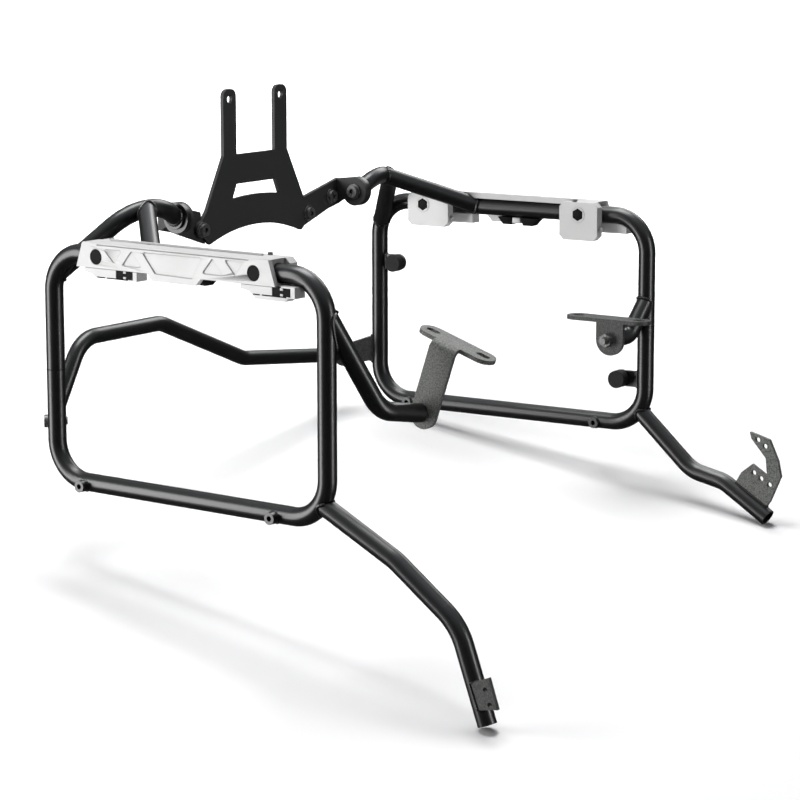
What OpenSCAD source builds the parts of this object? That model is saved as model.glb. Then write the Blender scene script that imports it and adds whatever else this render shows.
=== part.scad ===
// Tubular pannier frame for the tail of a motorbike.
// X points to the front of the bike, Y to its left, Z up. The origin is midway
// between the two holes of the tail plate, on the front face of that plate.

/* [Hoops] */
// Diameter of the hoop, leg and stay tubes
tube_d = 18; // [14:0.5:22]
// Length of a hoop between the axes of its uprights
hoop_l = 338; // [300:1:380]
// Height of a hoop between the axes of its top and bottom tubes
hoop_h = 224.5; // [200:0.5:250]
// Bend radius of the hoop corners, at the tube axis
hoop_bend = 39; // [30:1:55]
// Distance between the hoops, at mid length
hoop_gap = 565; // [520:1:600]
// Angle by which each hoop opens towards the front
hoop_toe = 2.4; // [0:0.1:4]
// Distance of the hoops' mid length ahead of the tail plate
hoop_ahead = 132; // [124:1:140]
// Depth of the hoops' mid height below the tail plate's holes
hoop_drop = 245; // [235:1:255]

/* [Threaded bushes] */
// Diameter of the bushes through the bottom tubes
bush_d = 11.5; // [8:0.5:13]
// Drop of the bushes below the axis of the bottom tube
bush_drop = 2; // [0:0.5:3]
// How far a bush stands out of the tube on the outside
bush_out = 6.5; // [2:0.5:8]
// How far a bush stands out of the tube on the inside
bush_in = 2.5; // [1:0.5:5]
// Core hole of the bush thread
bush_bore = 5; // [4:0.1:6]
// Place of the front bush, ahead of mid length
bush_front_x = 112; // [80:1:120]
// Place of the rear bush, behind mid length
bush_rear_x = 127; // [80:1:130]

/* [Tail plate] */
// Thickness of the tail plate and of the link plates
plate_t = 4; // [3:0.5:5]
// Half the distance between the two arm holes
arm_y = 43; // [38:0.5:48]
// Diameter of the arm holes
arm_hole_d = 8.5; // [6.5:0.5:10]
// Width of an arm
arm_w = 21; // [18:1:30]
// Height of the arm holes above the root of the arms
arm_rise = 57; // [45:1:64]
// Depth of the inner link bolts below the arm holes
link_drop = 129; // [124:0.5:134]
// Inner link bolts, from the middle plane
link_bolt_y = 90; // [86:0.5:94]
// Distance along Y between the two bolts of a link plate
link_bolt_gap = 46; // [40:1:48]
// Rise from the inner to the outer bolt of a link plate
link_bolt_rise = 14; // [8:1:18]
// Bolt size at the link plates and the brackets
bolt_d = 8; // [6:1:8]

/* [Upper stays] */
// Place of the stay flange ahead of the tail plate's front face
flange_x = 19.5; // [16:0.5:24]
// Depth of the stay flange below the arm holes
flange_drop = 109.5; // [104:0.5:114]
// Outer face of the link plate's tab, from the middle plane
tab_y = 151; // [146:0.5:156]
// Diameter of the stay flange
flange_d = 31; // [26:0.5:34]
// Thickness of the stay flange
flange_t = 6; // [4:0.5:8]
// Foot of the brace, behind mid length of the top tube
brace_foot = 40; // [30:1:60]

/* [Cross tube] */
// Diameter of the cross tube
cross_d = 16; // [13:0.5:17]
// Height of its eyes below mid height of the hoops
cross_eye_drop = 64; // [50:1:68]
// Reach of a bracket from the axis of a rear upright to the eye
cross_reach = 42.5; // [38:0.5:48]
// Angle of the brackets behind the cross direction
cross_angle = 41; // [25:1:50]
// Thickness of the brackets
bracket_t = 4; // [3:0.5:5]

/* [Mid brackets] */
// Distance between the two slots of the right bracket
right_slot_gap = 58; // [54:1:66]
// Distance between the two slots of the left bracket
left_slot_gap = 74; // [60:1:80]
// Width of the slots
slot_w = 7; // [5:0.5:8.5]
// Length of the slots
slot_l = 14; // [11:0.5:16]
// Width of the slotted plate
slot_plate_w = 25; // [22:0.5:28]
// Pitch of the right bracket, nose down
right_pitch = 18.5; // [10:0.5:25]
// Length of the right bracket's arm from its bolt
right_arm_l = 71; // [60:1:76]
// Length of the left bracket's arm from its bolt
left_arm_l = 22; // [18:0.5:30]

/* [Mount bars] */
// Distance between the two clamp bolts of a bar
bar_bolt_gap = 195; // [180:1:200]
// Offset of the bar behind mid length
bar_back = 2; // [0:0.5:8]
// Thickness of the bar's front web
bar_web = 5.2; // [4.5:0.1:6]
// Height of the bar's front web
bar_h = 24; // [22:0.5:27]
// Thickness of the bar's top flange
bar_top = 4; // [3:0.5:5]
// Clamp bolt size
clamp_bolt_d = 8; // [6:1:8]

/* [Front legs] */
// Diameter of the larger foot holes
foot_hole_d = 5.5; // [4.5:0.5:7]
// Thickness of the foot plates
foot_t = 4; // [3:0.5:5]

/* [Buffers] */
// Diameter of the rubber buffers
buffer_d = 19; // [16:0.5:22]
// Length of the rubber buffers
buffer_l = 12; // [8:0.5:14]

/* [Hidden] */
$fn = 64;
seat = 0.3;
collar_gain = 0.06;
bush_fit = 0.2;
tube_r = tube_d / 2;
cross_r = cross_d / 2;
coat = [0.08, 0.08, 0.09];
coat_grey = [0.2, 0.21, 0.2];
cast = [0.86, 0.86, 0.87];
zinc = [0.25, 0.25, 0.26];
rubber = [0.03, 0.03, 0.03];
right = -1;
left = 1;

top_v = hoop_h / 2;
front_u = hoop_l / 2;
half_gap = hoop_gap / 2;
// Places ahead of the front uprights are counted from here.
nose_x = hoop_ahead + front_u;

function unit(v) = v / norm(v);
function flip(p) = [p[0], -p[1], p[2]];
// World place of a point in the left hoop's own frame: forward, outboard, up.
function hoop_point(p) = [
    hoop_ahead + p[0] * cos(hoop_toe) - p[1] * sin(hoop_toe),
    half_gap + p[0] * sin(hoop_toe) + p[1] * cos(hoop_toe),
    p[2] - hoop_drop
];

// Draws in the frame of one hoop: X forward, Y outboard, Z up.
module on_hoop(side) {
    mirror([0, side == right ? 1 : 0, 0])
        translate(hoop_point([0, 0, 0]))
            rotate([0, 0, hoop_toe])
                children();
}

module on_side(side) {
    mirror([0, side == right ? 1 : 0, 0]) children();
}

// Turns the Z axis from point a towards point b, with X kept near a given side.
module aim(a, b, side = [0, 0, 1]) {
    z = unit(b - a);
    y = unit(cross(z, side));
    x = cross(y, z);
    multmatrix([
        [x[0], y[0], z[0], a[0]],
        [x[1], y[1], z[1], a[1]],
        [x[2], y[2], z[2], a[2]],
        [0, 0, 0, 1]
    ]) children();
}

function side_of(a, b) = abs(unit(b - a)[2]) > 0.9 ? [1, 0, 0] : [0, 0, 1];

module rod(a, b, d, side = undef) {
    aim(a, b, is_undef(side) ? side_of(a, b) : side) cylinder(h = norm(b - a), d = d);
}

// One bend of a tube at point p, between directions in and out.
module elbow(p, in, out, d, r) {
    turn = acos(in * out);
    n = unit(out - (out * in) * in);
    c = p - in * r * tan(turn / 2) + n * r;
    z = cross(in, n);
    multmatrix([
        [-n[0], in[0], z[0], c[0]],
        [-n[1], in[1], z[1], c[1]],
        [-n[2], in[2], z[2], c[2]],
        [0, 0, 0, 1]
    ]) rotate_extrude(angle = turn) translate([r, 0]) circle(d = d);
}

function trim_at(pts, i, r) =
    (i == 0 || i == len(pts) - 1) ? 0
    : r * tan(acos(unit(pts[i] - pts[i - 1]) * unit(pts[i + 1] - pts[i])) / 2);

// A bent tube through a list of points in one plane, with one bend radius.
module bent_tube(pts, d, r) {
    for (i = [0 : len(pts) - 2]) {
        dir = unit(pts[i + 1] - pts[i]);
        next = i < len(pts) - 2 ? pts[i + 2] - pts[i + 1] : pts[i] - pts[i - 1];
        rod(pts[i] + dir * trim_at(pts, i, r), pts[i + 1] - dir * trim_at(pts, i + 1, r), d, next);
    }
    for (i = [1 : 1 : len(pts) - 2]) {
        in = unit(pts[i] - pts[i - 1]);
        out = unit(pts[i + 1] - pts[i]);
        elbow(pts[i], in, out, d, r);
        collar(pts[i] - in * trim_at(pts, i, r), in, d);
        collar(pts[i] + out * trim_at(pts, i, r), out, d);
    }
}

// Short ring where a straight and a bend meet, a hair thicker than both.
module collar(p, dir, d) {
    rod(p - dir / 2, p + dir / 2, d + collar_gain);
}

// Closed hoop of bent tube, in the hoop's own frame, grown all round by a gap.
module hoop_tube(gap = 0) {
    u = front_u - hoop_bend;
    v = top_v - hoop_bend;
    d = tube_d + 2 * gap;
    for (s = [-1, 1]) {
        rod([-u, 0, s * top_v], [u, 0, s * top_v], d);
        rod([s * front_u, 0, -v], [s * front_u, 0, v], d);
    }
    elbow([front_u, 0, top_v], [1, 0, 0], [0, 0, -1], d, hoop_bend);
    elbow([front_u, 0, -top_v], [0, 0, -1], [-1, 0, 0], d, hoop_bend);
    elbow([-front_u, 0, -top_v], [-1, 0, 0], [0, 0, 1], d, hoop_bend);
    elbow([-front_u, 0, top_v], [0, 0, 1], [1, 0, 0], d, hoop_bend);
}

// Parts of the left hoop with a welding gap round them, for tubes and plates that end on it.
// end is 1 at the front and -1 at the rear.
module upright_room(end) {
    u = end * front_u;
    rod(hoop_point([u, 0, -top_v]), hoop_point([u, 0, top_v]), tube_d + 2 * seat);
}

module top_tube_room() {
    u = front_u - hoop_bend;
    rod(hoop_point([-u, 0, top_v]), hoop_point([u, 0, top_v]), tube_d + 2 * seat);
}

module rear_corner_room() {
    on_hoop(left) elbow([-front_u, 0, top_v], [0, 0, 1], [1, 0, 0], tube_d + 2 * seat, hoop_bend);
}

// Point on the hoop's front bottom corner, at an angle below level.
function corner_point(a) = [
    front_u - hoop_bend + hoop_bend * cos(a), 0, -top_v + hoop_bend - hoop_bend * sin(a)
];

module front_corner_room(a) {
    tangent = [-sin(a), 0, -cos(a)];
    p = corner_point(a);
    on_hoop(left) rod(p - 25 * tangent, p + 25 * tangent, tube_d + 2 * seat);
}

bush_places = [bush_front_x, -bush_rear_x];
clamp_places = [bar_bolt_gap / 2 - bar_back, -bar_bolt_gap / 2 - bar_back];

module hoop(side) {
    color(coat) on_hoop(side) difference() {
        hoop_tube();
        for (u = bush_places)
            translate([u, 0, -top_v - bush_drop])
                rotate([90, 0, 0]) cylinder(h = 3 * tube_d, d = bush_d + bush_fit, center = true);
        for (u = clamp_places)
            translate([u, 0, top_v])
                rotate([90, 0, 0]) cylinder(h = 3 * tube_d, d = clamp_bolt_d + 2 * seat, center = true);
    }
}

module bushes(side) {
    bush_l = tube_d + bush_out + bush_in;
    color(coat) on_hoop(side)
        for (u = bush_places)
            translate([u, tube_r + bush_out, -top_v - bush_drop]) rotate([90, 0, 0]) difference() {
                cylinder(h = bush_l, d = bush_d);
                translate([0, 0, -1]) cylinder(h = bush_l + 2, d = bush_bore);
            }
}

// Tail plate, drawn in Y and Z with the arm holes at height zero.
inner_bolt = [link_bolt_y, -link_drop];
outer_bolt = inner_bolt + [link_bolt_gap, link_bolt_rise];
root_corner = [link_bolt_y - 7.5, -link_drop + 18];
low_corner = [link_bolt_y - 12, -link_drop - 16.5];
arch_rise = 14;
window_top = [33, -87.3];
window_low = [40, -102.5];
window_arch = 2.3;
arm_top = 10.5;
arm_round = 8;
ear_r = 9;

// Points of an arch from a to b, as high in the middle as rise.
function arch(a, b, rise, steps = 16) =
    let (w = (b[0] - a[0]) / 2, r = (w * w + rise * rise) / (2 * rise), half = asin(w / r))
    [for (i = [0 : steps]) let (t = -half + 2 * half * i / steps)
        [(a[0] + b[0]) / 2 + r * sin(t), a[1] + rise - r + r * cos(t)]];

module half_plate() {
    inner = arm_y - arm_w / 2;
    outer = arm_y + arm_w / 2;
    polygon([[0, -arm_rise], [inner, -arm_rise], [inner, arm_top - arm_round], [outer, arm_top - arm_round],
        [outer, -arm_rise], root_corner, inner_bolt + [ear_r, 0], low_corner, [0, low_corner[1]]]);
    translate([inner + arm_round, -arm_round]) square([arm_w - 2 * arm_round, arm_top + arm_round]);
    for (y = [inner + arm_round, outer - arm_round]) translate([y, arm_top - arm_round]) circle(r = arm_round);
    translate(inner_bolt) circle(r = ear_r);
}

module tail_plate() {
    color(coat) slab(0, plate_t) difference() {
        union() {
            half_plate();
            mirror([1, 0]) half_plate();
        }
        polygon(concat(arch([-low_corner[0], low_corner[1]], low_corner, arch_rise),
            [low_corner - [0, 9], [-low_corner[0], low_corner[1] - 9]]));
        polygon(concat(arch([-window_low[0], window_low[1]], window_low, window_arch),
            [window_top, [-window_top[0], window_top[1]]]));
        for (s = [-1, 1]) {
            translate([s * arm_y, 0]) circle(d = arm_hole_d);
            translate([s * inner_bolt[0], inner_bolt[1]]) circle(d = bolt_d + 2 * seat);
        }
    }
}

// Extrudes a profile in Y and Z backwards from a plane across the bike.
module slab(front_x, thick) {
    translate([front_x - thick, 0, 0]) rotate([90, 0, 90]) linear_extrude(thick) children();
}

// Link plate: a flat part behind the tail plate, bent forward into a tab for the stay.
flange_r = flange_d / 2;
tab_in = tab_y - plate_t;
module link_plate(side) {
    color(coat) on_side(side) {
        slab(-plate_t, plate_t) difference() {
            polygon([inner_bolt + [-9, -15.5], inner_bolt + [-2, 17.5], outer_bolt + [tab_y - outer_bolt[0], 18.5],
                [tab_y, outer_bolt[1] - 9], outer_bolt + [-4, -13]]);
            for (p = [inner_bolt, outer_bolt]) translate(p) circle(d = bolt_d + 2 * seat);
        }
        translate([0, tab_y, 0]) rotate([90, 0, 0]) linear_extrude(plate_t) difference() {
            union() {
                polygon([[-plate_t, outer_bolt[1] - 9], [flange_x - flange_r + 3, -flange_drop - flange_r / 2],
                    [flange_x, -flange_drop + flange_r], [-plate_t, outer_bolt[1] + 18.5]]);
                translate([flange_x, -flange_drop]) circle(r = flange_r);
            }
            translate([flange_x, -flange_drop]) circle(d = bolt_d + 2 * seat);
        }
    }
}

module stay_flange(side) {
    color(coat) on_side(side)
        translate([flange_x, tab_y, -flange_drop]) rotate([-90, 0, 0]) difference() {
            union() {
                cylinder(h = flange_t, d = flange_d);
                cylinder(h = flange_t + 3, d = tube_d + 4);
            }
            translate([0, 0, -1]) cylinder(h = flange_t, d = bolt_d + 2 * seat);
        }
}

// Bolt along X: head in front of the origin, nut behind the grip.
module screw(d, reach) {
    rotate([0, -90, 0]) cylinder(h = reach, d = d);
    rotate([0, 90, 0]) difference() {
        union() {
            cylinder(h = 0.2 * d, d = 2 * d);
            cylinder(h = 0.65 * d, d = 1.6 * d);
        }
        translate([0, 0, 0.3 * d]) cylinder(h = d, d = 0.75 * d, $fn = 6);
    }
}

module hex_nut(d, at) {
    translate([-at, 0, 0]) rotate([0, -90, 0]) cylinder(h = 0.8 * d, d = 1.85 * d, $fn = 6);
}

module link_bolts() {
    color(zinc) for (side = [right, left]) on_side(side) {
        translate([0, inner_bolt[0], inner_bolt[1]]) {
            screw(bolt_d, 2 * plate_t + bolt_d);
            hex_nut(bolt_d, 2 * plate_t);
        }
        translate([-plate_t, outer_bolt[0], outer_bolt[1]]) {
            screw(bolt_d, plate_t + bolt_d);
            hex_nut(bolt_d, plate_t);
        }
    }
}

module flange_bolts() {
    color(zinc) for (side = [right, left])
        on_side(side) translate([flange_x, tab_in, -flange_drop])
            rotate([0, 0, -90]) screw(bolt_d, plate_t + flange_t - 2);
}

// Upper stay: from the rear top corner of a hoop, over one bend, to its flange.
stay_bend = 54;
stay_foot = hoop_point([-front_u + 3.7, -2.5, top_v - 22.5]);
stay_peak = [27.2, 210, -82.3];
stay_end = [flange_x - 1, tab_y - 2, -flange_drop - 2];
stay_in = unit(stay_peak - stay_foot);
stay_out = unit(stay_end - stay_peak);
stay_crown = stay_peak + unit(stay_out - stay_in) * stay_bend * (1 / cos(acos(stay_in * stay_out) / 2) - 1);
brace_ahead = 4;
brace_short = 1.5;
brace_low = hoop_point([-brace_foot, 0, top_v]);
brace_aim = stay_crown + unit(stay_in + stay_out) * brace_ahead;

module stay_tube(gap = 0) {
    bent_tube([stay_foot, stay_peak, stay_end], tube_d + 2 * gap, stay_bend);
}

module upper_stay(side) {
    color(coat) on_side(side) difference() {
        stay_tube();
        rear_corner_room();
        translate([-60, tab_y - 60, -flange_drop - 60]) cube([160, 60 + flange_t + 3 + seat, 120]);
    }
}

module brace_rod(gap = 0) {
    rod(brace_low, brace_aim - unit(brace_aim - brace_low) * brace_short, tube_d + 2 * gap);
}

module brace(side) {
    color(coat) on_side(side) difference() {
        brace_rod();
        top_tube_room();
        stay_tube(seat);
    }
}

// Brackets behind the rear uprights, and the cross tube bolted to them.
upright = hoop_point([-front_u, 0, -cross_eye_drop + 5]);
bracket_dir = [-sin(cross_angle), -cos(cross_angle), 0];
bracket_normal = [cos(cross_angle), -sin(cross_angle), 0];
bracket_h = 32;
eye_low = 5;
eye_r = 12;
eye_l = 16;
paddle_t = 6;
paddle_mid = bracket_t / 2 + paddle_t / 2;
eye_centre = upright + bracket_dir * cross_reach - [0, 0, eye_low] - bracket_normal * paddle_mid;

// Draws on a bracket's middle plane: X away from the upright, Y down, Z to its front.
module on_bracket() {
    multmatrix([
        [bracket_dir[0], 0, bracket_normal[0], upright[0]],
        [bracket_dir[1], 0, bracket_normal[1], upright[1]],
        [0, -1, 0, upright[2]],
        [0, 0, 0, 1]
    ]) children();
}

module cross_bracket(side) {
    h = bracket_h / 2;
    color(coat_grey) on_side(side) difference() {
        on_bracket() translate([0, 0, -bracket_t / 2]) linear_extrude(bracket_t) difference() {
            union() {
                polygon([[0, -h - 3], [tube_r + 5, -h + 1], [cross_reach, eye_low - eye_r],
                    [cross_reach, eye_low + eye_r], [tube_r + 5, h - 4], [0, h]]);
                translate([cross_reach, eye_low]) circle(r = eye_r);
            }
            translate([cross_reach, eye_low]) circle(d = bolt_d + 2 * seat);
        }
        upright_room(-1);
    }
}

cross_bend = 38;
cross_points = [
    flip(eye_centre), [eye_centre[0], -200.8, 13.1 - hoop_drop], [eye_centre[0], -76.4, 12.9 - hoop_drop],
    [eye_centre[0], 63, -42.9 - hoop_drop], eye_centre
];

// Flattened end of the cross tube: an eye and a tongue, where the tube leaves towards point p.
module paddle(p) {
    d = unit(p - eye_centre);
    along = d * bracket_dir;
    translate([cross_reach, eye_low, -bracket_t / 2 - paddle_t]) linear_extrude(paddle_t) difference() {
        union() {
            circle(r = eye_r - 2);
            rotate(atan2(-d[2], along)) translate([0, -cross_r + 1]) square([eye_l + 12, cross_d - 2]);
        }
        circle(d = bolt_d + 2 * seat);
    }
}

module cross_tube() {
    near = flip(cross_points[1]);
    far = cross_points[3];
    color(coat) {
        bent_tube([
            flip(eye_centre + unit(near - eye_centre) * eye_l), cross_points[1], cross_points[2],
            far, eye_centre + unit(far - eye_centre) * eye_l
        ], cross_d, cross_bend);
        on_side(right) on_bracket() paddle(near);
        on_bracket() paddle(far);
    }
}

module cross_bolts() {
    color(zinc) for (side = [right, left])
        on_side(side) on_bracket()
            translate([cross_reach, eye_low, -bracket_t / 2 - paddle_t]) rotate([0, 90, 0]) {
                screw(bolt_d, bracket_t + paddle_t + bolt_d);
                hex_nut(bolt_d, bracket_t + paddle_t);
            }
}

// Mid stays and slotted brackets, drawn on the left side and mirrored for the right.
right_mid = [
    hoop_point([front_u - 0.6, 0, 80]), [nose_x + 32, half_gap - 30.5, -11.5 - hoop_drop],
    [nose_x + 41, half_gap - 82.5, -20.5 - hoop_drop]
];
left_mid = [
    hoop_point([front_u, 0, 24]), [nose_x - 5, half_gap - 20.5, -12 - hoop_drop],
    [nose_x - 13, half_gap - 47.5, -13.5 - hoop_drop]
];
mid_bend = 26;
fold_r = 8;

module mid_stay(side) {
    pts = side == right ? right_mid : left_mid;
    end = pts[2];
    color(coat) on_side(side) difference() {
        bent_tube(pts, tube_d, side == right ? mid_bend : mid_bend - 12);
        upright_room(1);
        if (side == right)
            on_hoop(left) elbow([front_u, 0, top_v], [1, 0, 0], [0, 0, -1], tube_d + 2 * seat, hoop_bend);
        translate([end[0] - 40, end[1] - 40, end[2] - 40]) cube([80, 40, 80]);
        translate([end[0], end[1] - 1, end[2]]) rotate([-90, 0, 0]) cylinder(h = 15, d = bolt_d + 2 * seat);
    }
}

// Slotted bracket: an arm from the bolt up to a plate with two slots.
// bend is the outer radius of the fold to a plate inboard of the arm, or 0 for a plate set on outboard.
module slotted_bracket(arm_l, arm_w, arm_x, plate_x, slot_gap, bend) {
    rotate([90, 0, 0]) linear_extrude(bracket_t) difference() {
        union() {
            translate([arm_x, 0]) circle(d = arm_w);
            translate([arm_x - arm_w / 2, 0]) square([arm_w, arm_l - bend]);
        }
        circle(d = bolt_d + 2 * seat);
    }
    if (bend > 0)
        translate([arm_x - arm_w / 2, -bend, arm_l - bend]) rotate([90, 0, 90]) linear_extrude(arm_w) difference() {
            intersection() {
                circle(r = bend);
                square(bend);
            }
            circle(r = bend - bracket_t);
        }
    plate_y = bend > 0 ? -bend - slot_plate_w : -bracket_t;
    translate([plate_x, plate_y, arm_l - bracket_t]) linear_extrude(bracket_t) difference() {
        union() {
            for (s = [-1, 1]) translate([s * slot_gap / 2, slot_plate_w / 2]) circle(d = slot_plate_w);
            translate([-slot_gap / 2, 0]) square([slot_gap, slot_plate_w]);
        }
        for (s = [-1, 1]) translate([s * slot_gap / 2, slot_plate_w / 2]) slot_outline();
    }
}

module slot_outline() {
    e = (slot_l - slot_w) / 2;
    for (s = [-1, 1]) translate([s * e, 0]) circle(d = slot_w);
    translate([-e, -slot_w / 2]) square([2 * e, slot_w]);
}

module mid_bracket(side) {
    color(coat_grey) on_side(side)
        if (side == right)
            translate(right_mid[2]) rotate([0, right_pitch, 0])
                slotted_bracket(right_arm_l, 28, 3, 6, right_slot_gap, fold_r);
        else
            translate(left_mid[2]) slotted_bracket(left_arm_l, 33, 2, -6.5, left_slot_gap, 0);
}

module mid_bolts() {
    color(zinc) {
        on_side(right) translate(right_mid[2] - [0, bracket_t, 0])
            rotate([0, 0, -90]) screw(bolt_d, bracket_t + 12);
        on_side(left) translate(left_mid[2] - [0, bracket_t, 0]) rotate([0, 0, 90]) {
            translate([bracket_t + 12, 0, 0]) rotate([0, -90, 0]) cylinder(h = bracket_t + 24, d = bolt_d);
            hex_nut(bolt_d, 0);
        }
    }
}

// Front legs with their small plates.
corner_turn = 36;
leg_start = hoop_point(corner_point(corner_turn));
right_leg = [
    leg_start, [nose_x + 75, leg_start[1], -138.3 - hoop_drop], [nose_x + 143, leg_start[1], -188.5 - hoop_drop],
    [nose_x + 174, leg_start[1], -275 - hoop_drop]
];
left_leg_lean = 0.035;
function left_leg_point(ahead, v) = [
    nose_x + ahead, leg_start[1] - left_leg_lean * (nose_x + ahead - leg_start[0]), v - hoop_drop
];
left_leg = [leg_start, left_leg_point(60, -154.7), left_leg_point(100, -162.5), left_leg_point(153, -194.5)];

module leg_tube(side, gap = 0) {
    if (side == right) bent_tube(right_leg, tube_d + 2 * gap, 62);
    else bent_tube(left_leg, tube_d + 2 * gap, 40);
}

module front_leg(side) {
    pts = side == right ? right_leg : left_leg;
    color(coat) on_side(side) difference() {
        leg_tube(side);
        front_corner_room(corner_turn);
        aim(pts[3], pts[2], [0, 1, 0]) translate([0, 0, -1]) cylinder(h = 13, d = tube_d - 4);
    }
}

// Extrudes a profile in X and Z about a point, square to the cross direction.
module side_plate(at, thick) {
    translate(at + [0, thick / 2, 0]) rotate([90, 0, 0]) linear_extrude(thick) children();
}

module foot_plate(side) {
    color(coat_grey) on_side(side) difference() {
        if (side == right)
            side_plate(right_leg[3] + [0, 7.5, 0], foot_t) difference() {
                polygon([[-13, 38], [7, 46.5], [16.5, 18.5], [-4, 15]]);
                for (p = [[3.5, 35], [8.5, 22]]) translate(p) circle(d = foot_hole_d - 1);
            }
        else
            side_plate(left_leg[3] + [0, 1, 0], foot_t) difference() {
                polygon([[-40.5, 30], [-31.5, 45.5], [-19, 55.5], [-1.5, 45], [-3.5, 63.5], [-21, 83],
                    [-22.5, 89.5], [0.5, 83.5], [11, 61.5], [14.5, 45.5], [2.5, 17.5], [-4, 8.5]]);
                for (p = [[-13, 82], [-4.5, 76], [-17, 46.5], [-8.5, 41], [1.5, 35.5]])
                    translate(p) circle(d = foot_hole_d);
            }
        leg_tube(side, seat);
    }
}

// Rubber buffers on tabs, on the left hoop only: place, height and reach of each.
buffer_places = [[-front_u, 42.5, 25], [front_u, -63.5, -28.5]];

module buffer_tabs() {
    color(coat) on_hoop(left) difference() {
        for (p = buffer_places)
            translate([p[0], plate_t / 2, p[1]]) rotate([90, 0, 0]) linear_extrude(plate_t) difference() {
                union() {
                    translate([p[2], 0]) circle(d = buffer_d - 1);
                    translate([min(0, p[2]), -buffer_d / 2 + 1]) square([abs(p[2]), buffer_d - 2]);
                }
                translate([p[2], 0]) circle(d = bolt_d - 1);
            }
        hoop_tube(seat);
    }
}

module buffers() {
    color(rubber) on_hoop(left)
        for (p = buffer_places)
            translate([p[0] + p[2], -plate_t / 2, p[1]]) rotate([90, 0, 0]) {
                cylinder(h = buffer_l, d = buffer_d);
                translate([0, 0, -plate_t]) cylinder(h = plate_t, d = bolt_d - 2);
                translate([0, 0, -plate_t - 3]) cylinder(h = 3, d = 1.6 * bolt_d);
            }
}

// Mount bars: a cast front web with a top flange over the top tube.
web_in = tube_r + seat;
web_out = web_in + bar_web;
bar_top_v = top_v + tube_r + seat + bar_top;
bar_low_v = bar_top_v - bar_h;
bar_half_top = 115;
bar_half_low = 123;
lip_h = 6.5;
end_wall = 4;
rail_h = 2;
rail_t = 2.5;
rail_span = [-98, 90];
plug_d = 15;
plug_deep = 3;

module bar_face() {
    polygon([[-bar_half_low, bar_low_v], [-bar_half_top, bar_top_v], [bar_half_top, bar_top_v],
        [bar_half_low, bar_low_v], [34, bar_low_v], [28, bar_low_v - lip_h], [-26, bar_low_v - lip_h],
        [-32, bar_low_v]]);
}

// Wall that closes an end of the bar round the tube, across and up.
module bar_end() {
    difference() {
        polygon([[-web_in, bar_top_v - 1], [web_in + 1, bar_top_v - 1], [web_in + 1, latch_high + seat],
            [0, latch_high + seat], [0, top_v], [-web_in, top_v]]);
        translate([0, top_v]) circle(r = tube_r + 2 * seat);
    }
}

module mount_bar(side) {
    color(cast) difference() {
        on_hoop(side) difference() {
            translate([-bar_back, 0, 0]) {
                translate([0, web_out, 0]) rotate([90, 0, 0]) linear_extrude(bar_web) bar_face();
                translate([-bar_half_top, -web_in, bar_top_v - bar_top])
                    cube([2 * bar_half_top, 2 * web_in + 1, bar_top]);
                translate([rail_span[0], -web_in, bar_top_v - 1])
                    cube([rail_span[1] - rail_span[0], rail_t, rail_h + 1]);
                for (x = [-bar_half_top, bar_half_top - end_wall])
                    translate([x, 0, 0]) rotate([90, 0, 90]) linear_extrude(end_wall) bar_end();
            }
            for (u = clamp_places) translate([u, 0, top_v]) rotate([-90, 0, 0]) {
                translate([0, 0, web_out - plug_deep]) cylinder(h = plug_deep + 1, d = plug_d);
                cylinder(h = 2 * web_out, d = clamp_bolt_d + 2 * seat);
            }
        }
        on_side(side) brace_rod(seat);
    }
}

// Blocks under the top tube, below the ends of the bar.
latch_high = top_v - web_in;
latch_low = latch_high - 10.5;
latch_spans = [[-114, -47.5], [80, 144]];
latch_body = 30;
latch_tongue = 5;

module latch_blocks(side) {
    color(cast) on_hoop(side) difference() {
        for (p = latch_spans) {
            translate([0, web_out, 0]) rotate([90, 0, 0]) linear_extrude(web_out + web_in)
                polygon([[p[0] + 14, latch_low], [p[0] + 10, latch_low + 3.5], [p[0], latch_low + 5], [p[0], latch_high],
                    [p[0] + latch_body, latch_high], [p[0] + latch_body, latch_low]]);
            translate([0, web_out, 0]) rotate([90, 0, 0]) linear_extrude(web_out)
                polygon([[p[0] + latch_body - 1, latch_low], [p[0] + latch_body - 1, latch_high], [p[1], latch_high],
                    [p[1], latch_low]]);
        }
        hoop_tube(seat);
        for (p = latch_spans) latch_pocket(p, 0);
        translate([-bar_half_low - 5, web_in - seat, bar_low_v - seat])
            cube([2 * bar_half_low + 10, bar_web + 2, 2 * bar_top]);
    }
}

insert_l = 21.5;
insert_h = 8;
insert_fit = 0.1;

// Room for a black insert, open towards the outside.
module latch_pocket(p, gap) {
    translate([p[1] - latch_tongue - insert_l + gap, web_out - 4, latch_low + 1 + gap])
        cube([insert_l - 2 * gap, 6, insert_h - 2 * gap]);
}

module latch_inserts() {
    color(rubber) for (side = [right, left]) on_hoop(side)
        for (p = latch_spans)
            translate([p[1] - latch_tongue - insert_l + insert_fit, web_out - 4, latch_low + 1 + insert_fit])
                cube([insert_l - 2 * insert_fit, 3.4, insert_h - 2 * insert_fit]);
}

// Clamp blocks on the inner side of the top tube.
clamp_t = 11;
clamp_spans = [[-119, -67], [73, 119]];
clamp_lows = [top_v - 23.5, top_v - 27.5];
clamp_cut = 5;

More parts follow.
